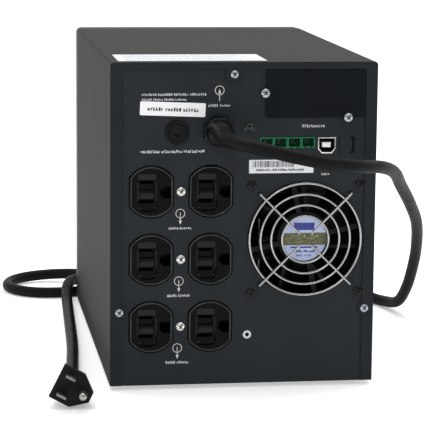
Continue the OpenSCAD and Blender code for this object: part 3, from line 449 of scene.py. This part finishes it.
PY = 1.2                 # outer face of the rear panel
bm = bmesh.new()
Q0, Q1 = PY - 0.04, PY
for (cx, zc) in ((-41.6, ROWS[0]), (-42.3, ROWS[1]), (-43.1, ROWS[2])):
    s = zc - 14.4
    ring(bm, cx, s, 2.72, 3.10, Q0, Q1)
    prism(bm, rect(cx - 0.20, cx + 0.20, s - 5.2, s + 0.7), Q0, Q1)
    prism(bm, [(cx - 0.95, s - 4.6), (cx, s - 7.2), (cx + 0.95, s - 4.6)], Q0, Q1)
    blocks(bm, cx - 7.6, cx + 7.6, zc - 24.0, 1.75, Q0, Q1, int(zc), words=2)
cx, s = -16.5, 197.6
ring(bm, cx, s, 2.72, 3.10, Q0, Q1)
prism(bm, rect(cx - 0.20, cx + 0.20, s - 7.0, s - 1.4), Q0, Q1)
prism(bm, [(cx - 0.95, s - 1.9), (cx + 0.95, s - 1.9), (cx, s + 0.9)], Q0, Q1)
blocks(bm, -23.8, -9.2, 187.8, 1.75, Q0, Q1, 5, words=2)
blocks(bm, -67.0, -25.0, 195.1, 1.6, Q0, Q1, 6, words=4)
blocks(bm, -67.0, -37.6, 191.8, 1.5, Q0, Q1, 7, words=4)
blocks(bm, -67.6, -25.8, 158.0, 1.8, Q0, Q1, 8, words=3)
blocks(bm, 38.0, 53.4, 174.0, 1.8, Q0, Q1, 9, words=1)
blocks(bm, 51.3, 57.0, 142.2, 1.5, Q0, Q1, 10, words=1)
from_bmesh("panel_prints", bm, "ink", BODY["rear_panel"])

bm = bmesh.new()
blocks(bm, -63.2, -29.6, 185.4, 2.3, 0.95, 1.0, 21, words=3, deg=-2.2, about=(-46.9, 185.6), w0=0.30)
from_bmesh("model_label_marks", bm, "inkdark", BODY["model_label"])

bm = bmesh.new()
rng = random.Random(33)
x = 5.6
while x < 33.0:
    w = rng.choice((0.28, 0.28, 0.5, 0.75))
    prism(bm, rect(x, x + w, 147.2, 151.2), 0.95, 1.0)
    x += w + rng.choice((0.28, 0.42, 0.6))
blocks(bm, 8.0, 40.0, 145.4, 1.4, 0.95, 1.0, 34, words=3, w0=0.3)
blocks(bm, 35.0, 44.0, 149.6, 1.2, 0.95, 1.0, 35, words=1, w0=0.2)
from_bmesh("barcode_marks", bm, "inkbar", BODY["barcode_label"])


def flat(bm, x0, x1, y0, y1, z):
    a = [bm.verts.new(V(*p)) for p in ((x0, y0, z), (x1, y0, z), (x1, y1, z), (x0, y1, z))]
    b = [bm.verts.new(V(p[0], p[1], z + 0.03)) for p in ((x0, y0), (x1, y0), (x1, y1), (x0, y1))]
    bm.faces.new(list(reversed(a)))
    bm.faces.new(b)
    for i in range(4):
        bm.faces.new((a[i], a[(i + 1) % 4], b[(i + 1) % 4], b[i]))


bm = bmesh.new()
rng = random.Random(44)
for row in range(9):
    x = -76.0
    y = 50.0 - row * 4.4
    end = rng.uniform(-6.0, 10.0)
    while x < end:
        w = rng.uniform(1.6, 6.5)
        flat(bm, x, min(x + w, end), y - 0.75, y + 0.75, 216.2)
        x += w + 1.1
for k in range(3):
    flat(bm, -76.0, 10.0, 12.6 + k * 0.0 + 15.0 * k - 3.2, 12.9 + 15.0 * k - 3.2, 216.2)
from_bmesh("top_label_marks", bm, "greyink", BODY["top_label"])

# the hub's disc: bands of colour in place of what is printed on it
bm = bmesh.new()
FX, FZ = FAN


def chord(bm, z0, z1, r, y0, y1, inset=0.0, x0=-99, x1=99):
    """The part of a disc between two heights."""
    n = 14
    pts = []
    for i in range(n + 1):
        z = z0 + (z1 - z0) * i / n
        pts.append((FX + min(x1, math.sqrt(max(0, r * r - z * z)) - inset), FZ + z))
    for i in range(n + 1):
        z = z1 - (z1 - z0) * i / n
        pts.append((FX + max(x0, -math.sqrt(max(0, r * r - z * z)) + inset), FZ + z))
    prism(bm, pts, y0, y1)


chord(bm, -4.6, 3.6, 14.9, 4.14, 4.2)
from_bmesh("fan_label_band", bm, "olive", BODY["fan_label"])
bm = bmesh.new()
chord(bm, 5.4, 10.4, 14.6, 4.14, 4.2, x0=-6.8, x1=6.8)
chord(bm, -6.6, -5.5, 14.6, 4.14, 4.2, x0=-9.0, x1=9.0)
blocks(bm, FX - 7.5, FX + 7.5, FZ - 8.6, 1.7, 4.14, 4.2, 51, words=2, w0=0.26)
blocks(bm, FX - 5.0, FX + 5.0, FZ - 11.4, 1.5, 4.14, 4.2, 52, words=2, w0=0.26)
from_bmesh("fan_label_marks", bm, "bluedark", BODY["fan_label"])
bm = bmesh.new()
blocks(bm, FX - 12.0, FX + 12.0, FZ + 0.8, 2.6, 4.10, 4.14, 53, words=2, w0=0.26)
blocks(bm, FX - 11.0, FX + 11.0, FZ - 2.8, 1.5, 4.10, 4.14, 54, words=4, w0=0.26)
from_bmesh("fan_label_band_marks", bm, "oliveink", BODY["fan_label"])


# ---------------------------------------------------------------- fan guard, drawn wire by wire
bm = bmesh.new()
WR = 0.75
for r in (37.1, 29.8, 22.7, 15.5):
    seg, sides = 144, 14
    rings = []
    for k in range(seg):
        t = 2 * math.pi * k / seg
        d = Vector((math.cos(t), 0, math.sin(t)))
        c = V(FX, -0.3, FZ) + d * r * MM
        rings.append([bm.verts.new(c + (d * math.cos(u) + Vector((0, 1, 0)) * math.sin(u)) * WR * MM) for u in [2 * math.pi * j / sides for j in range(sides)]])
    for k in range(seg):
        for j in range(sides):
            bm.faces.new((rings[k][j], rings[(k + 1) % seg][j], rings[(k + 1) % seg][(j + 1) % sides], rings[k][(j + 1) % sides]))
for a in (45, 135, 225, 315):
    d = Vector((math.cos(math.radians(a)), 0, math.sin(math.radians(a))))
    o = V(FX, 0, FZ)
    path = [o + d * 5.3 * MM + Vector((0, -1.55 * MM, 0)), o + d * 20 * MM + Vector((0, -1.55 * MM, 0))]
    for k in range(7):
        t = math.pi / 2 * k / 6
        path.append(o + d * (42.2 + 0.8 * math.sin(t)) * MM + Vector((0, (-0.75 - 0.8 * math.cos(t)) * MM, 0)))
    path.append(o + d * 43.0 * MM + Vector((0, 2.35 * MM, 0)))
    tube_mesh(bm, path, WR * MM, 14)
guard = from_bmesh("guard_wires", bm, "guardwire", BODY["fan_guard"], sharp=60)
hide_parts("fan_guard")


# ---------------------------------------------------------------- softened pieces
cover = soften("top_cover", "cover_shell", width=0.7, segs=3)
# the cover's rear-facing faces take the darker copy of its paint: painted shade
cover.data.materials.append(M["flange"])
for p in cover.data.polygons:
    if p.normal.y < -0.9 and (cover.matrix_world @ p.center).y < V(0, 0.3, 0).y:
        p.material_index = 1
for n, w in (("slot_cover_plate", 0.22), ("port_blank", 0.12), ("front_skirt", 0.6), ("front_bezel", 0.5), ("on_button", 0.5),
             ("off_button", 0.5), ("rubber_feet", 0.4), ("fan_frame", 0.3), ("fan_rotor", 0.25), ("breaker_nut", 0.25), ("breaker_body", 0.2),
             ("breaker_button", 0.2), ("plug_body", 0.8), ("plug_blades", 0.3), ("eyelet_clip", 0.12), ("earth_insert", 0.12),
             ("terminal_headers", 0.12), ("usb_shell", 0.08), ("usb_tongue", 0.15), ("cover_screws", 0.12), ("slot_plate_screws", 0.12),
             ("outlet_screws", 0.12), ("fan_rivets", 0.2), ("base_pan", 0.3), ("front_frame", 0.2)):
    soften(n, n + "_soft", width=w)
for n in ("outlet_upper", "outlet_middle", "outlet_lower"):
    soften(n, n + "_soft", width=0.55, segs=3)


# ---------------------------------------------------------------- socket faces: a rounded rim and two pads of lighter plastic, a painted sheen of the light off the recess
def face_outline(r, half, n=22):
    """The outline of a receptacle face: two arcs joined by upright flats."""
    a = math.asin(half / r) if half < r else math.pi / 2
    t0 = math.acos(half / r)
    pts = [(r * math.cos(t), r * math.sin(t)) for t in [t0 + (math.pi - 2 * t0) * i / n for i in range(n + 1)]]
    return pts + [(-x, -z) for x, z in pts]


def rounded(cx, cz, w, h, r, n=6):
    pts = []
    for k, (sx, sz) in enumerate(((1, 1), (-1, 1), (-1, -1), (1, -1))):
        for i in range(n + 1):
            t = math.pi / 2 * (k + i / n)
            pts.append((cx + sx * (w / 2 - r) + r * math.cos(t), cz + sz * (h / 2 - r) + r * math.sin(t)))
    return pts


for row, zc in enumerate(ROWS):
    key = ("outlet_upper", "outlet_middle", "outlet_lower")[row]
    bm = bmesh.new()
    for sgn in (-1, 1):
        cx = OUTLET_X + sgn * FACE_PITCH / 2
        path = face_outline(16.1, 13.35)
        loop = []
        for i in range(len(path)):
            x, z = path[i]
            d = Vector((x, 0, z)).normalized()
            loop.append([bm.verts.new(V(cx + x, 0.42, zc + z) + (d * math.cos(u) * 0.55 - Vector((0, 1, 0)) * math.sin(u) * 0.36) * MM) for u in [math.pi * j / 6 for j in range(7)]])
        for i in range(len(loop)):
            a, b = loop[i], loop[(i + 1) % len(loop)]
            for j in range(6):
                bm.faces.new((a[j], b[j], b[j + 1], a[j + 1]))
            bm.faces.new((a[6], b[6], b[0], a[0]))
    from_bmesh(key + "_rims", bm, "rim", BODY[key], sharp=60)
    # pads and upright strips in lighter plastic: painted sheen where the recess catches light
    bm = bmesh.new()
    for sgn in (-1, 1):
        cx = OUTLET_X + sgn * FACE_PITCH / 2
        prism(bm, rounded(cx - 2.9, zc + 9.9, 12.0, 4.0, 1.4), 0.16, 0.3)
        prism(bm, rounded(cx - 3.0, zc - 2.7, 10.4, 3.6, 0.9), 2.2, 2.4)
        for x in (cx - 8.9, cx + 3.1):
            prism(bm, rounded(x, zc + 0.6, 0.8, 12.4, 0.38), 0.16, 0.3)
    bevel(from_bmesh(key + "_sheen_pads", bm, "pad_sheen", BODY[key]), 0.06, 1)

# ---------------------------------------------------------------- strain relief: octagonal nut, dome and a fat ribbed neck
bm = bmesh.new()
RX, RZ = -17.5, 171.0


def band(profile, sides, turn=0.0):
    """A solid of revolution about the lead's exit, or a faceted one, from (y, r) pairs."""
    rows_ = [[bm.verts.new(V(RX + r * math.cos(t), y, RZ + r * math.sin(t))) for t in [math.radians(turn) + 2 * math.pi * k / sides for k in range(sides)]] for y, r in profile]
    for a, b in zip(rows_[:-1], rows_[1:]):
        for k in range(sides):
            bm.faces.new((a[k], a[(k + 1) % sides], b[(k + 1) % sides], b[k]))
    bm.faces.new(rows_[0])
    bm.faces.new(list(reversed(rows_[-1])))


band([(-8.0, 9.2), (-7.1, 10.3), (-0.6, 10.4), (1.2, 10.4)], 8, 22.5)
band([(1.2, 8.0), (11.0, 8.0)], 56)
neck = [(-7.0, 9.0), (-9.2, 9.0), (-10.0, 8.6), (-11.0, 8.1)]
for k in range(5):
    y = -12.0 - k * 3.0
    r = 8.0 - k * 0.32
    neck += [(y, r), (y - 1.5, r - 0.1), (y - 1.8, r - 0.75), (y - 2.7, r - 0.8)]
neck.append((-27.0, 6.5))
band(list(reversed(neck)), 56)
for a, b in ((6.0, 9.2), (-9.2, -6.0)):
    prism(bm, rect(RX + a, RX + b, RZ - 2, RZ + 2), 2.4, 6.0)
gland = bevel(from_bmesh("gland_and_neck", bm, "gland", BODY["strain_relief"], sharp=30), 0.35, 2, 30)
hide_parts("strain_relief")

# marks on the front: unlit lamps behind the window, a bar and a ring on the buttons
bm = bmesh.new()
for x, zs in ((25, (164, 170, 176, 182, 188)), (43, (164, 170, 176, 182, 188)), (59, (166, 175, 184))):
    for z in zs:
        if x == 59:
            ring(bm, x, z, 0.75, 1.15, 297.86, 297.93, seg=24)
        else:
            prism(bm, rounded(x, z, 5.2 if x == 43 else 2.4, 1.5, 0.7), 297.86, 297.93)
from_bmesh("window_marks", bm, "mark", BODY["display_window"])
bm = bmesh.new()
prism(bm, rounded(31, 146, 0.7, 4.6, 0.34), 297.94, 298.04)
from_bmesh("on_button_mark", bm, "ink", BODY["on_button"])
bm = bmesh.new()
ring(bm, 55, 146, 1.75, 2.4, 297.94, 298.04, seg=40)
from_bmesh("off_button_mark", bm, "ink", BODY["off_button"])

# black crosses set in the screws' cross recesses: painted shade of the recesses
bm = bmesh.new()
SCREWS = [(-81.5, 52.2, 0, 2.6, 1.5), (81.5, 52.2, 0, 2.6, 1.5), (-7, 208, 0, 2.5, 1.5), (13.4, 195.6, 0.2, 2.9, 1.7), (68.4, 179.4, 0.2, 2.9, 1.7)]
SCREWS += [(OUTLET_X, z, 1.2, 2.9, 1.9) for z in ROWS]
for x, z, y, r, h in SCREWS:
    for deg in (45, -45):
        prism(bm, turned(rect(x - r * 0.56, x + r * 0.56, z - 0.35, z + 0.35), x, z, deg), y - h + 0.16, y - h + 0.7)
from_bmesh("screw_recess_painted_shade", bm, "black", BODY["cover_screws"])

# black liner of the square port
bm = bmesh.new()
ux, uz = 54.4, 161.3
for x0, x1, z0, z1 in ((-5.12, -4.8, -1.9, 4.5), (4.8, 5.12, -1.9, 4.5), (-5.1, 5.1, 4.2, 4.52), (-3.1, 3.1, -4.52, -4.2)):
    prism(bm, rect(ux + x0, ux + x1, uz + z0, uz + z1), 0.9, 13.4)
prism(bm, [(ux + x, uz + z) for x, z in ((-5.1, 4.5), (5.1, 4.5), (5.1, -2.0), (3.2, -4.5), (-3.2, -4.5), (-5.1, -2.0))], 12.6, 13.6)
for sgn in (-1, 1):
    prism(bm, [(ux + sgn * x, uz + z) for x, z in ((5.1, -1.9), (3.15, -4.5), (2.9, -4.3), (4.8, -1.75))], 0.9, 13.4)
from_bmesh("usb_liner", bm, "black", BODY["usb_shell"])


# ---------------------------------------------------------------- floor and light
def lights():
    sc = bpy.context.scene
    w = bpy.data.worlds.new("studio")
    sc.world = w
    w.use_nodes = True
    nt = w.node_tree
    bg = nt.nodes["Background"]
    tc = nt.nodes.new("ShaderNodeTexCoord")
    sep = nt.nodes.new("ShaderNodeSeparateXYZ")
    nt.links.new(tc.outputs["Generated"], sep.inputs[0])
    mr = nt.nodes.new("ShaderNodeMapRange")
    mr.interpolation_type = "SMOOTHSTEP"
    mr.inputs["From Min"].default_value = -0.9
    mr.inputs["From Max"].default_value = 0.35
    mr.inputs["To Min"].default_value = 0.27
    mr.inputs["To Max"].default_value = 1.15
    nt.links.new(sep.outputs["Y"], mr.inputs["Value"])
    nt.links.new(mr.outputs["Result"], bg.inputs["Strength"])
    bg.inputs["Color"].default_value = (1.0, 1.0, 1.0, 1.0)

    def area(name, loc, target, size, power, color=(1, 1, 1), size_y=None):
        d = bpy.data.lights.new(name, "AREA")
        d.energy = power
        d.color = color
        d.size = size
        if size_y:
            d.shape = "RECTANGLE"
            d.size_y = size_y
        o = link(bpy.data.objects.new(name, d))
        o.location = loc
        o.rotation_euler = (Vector(target) - Vector(loc)).to_track_quat("-Z", "Y").to_euler()
        return o
    area("key", (0.2, 0.3, 2.2), (0, 0, 0), 2.4, 34)
    area("front", (-0.7, -2.2, 1.5), (0, 0, 0.1), 0.8, 10)
    sc.view_settings.view_transform = "Standard"
    sc.view_settings.look = "None"


lights()
bm = bmesh.new()
bmesh.ops.create_grid(bm, x_segments=8, y_segments=8, size=6.0)
me = bpy.data.meshes.new("floor")
bm.to_mesh(me)
bm.free()
floor = link(bpy.data.objects.new("floor", me))
fm = material("floor_white", (0.93, 0.93, 0.93), rough=0.9, spec=0.1, vary=0.005, vary_scale=3)
fb = fm.node_tree.nodes["Principled BSDF"]
fb.inputs["Emission Color"].default_value = (1.0, 1.0, 1.0, 1.0)
fb.inputs["Emission Strength"].default_value = 0.34
floor.data.materials.append(fm)
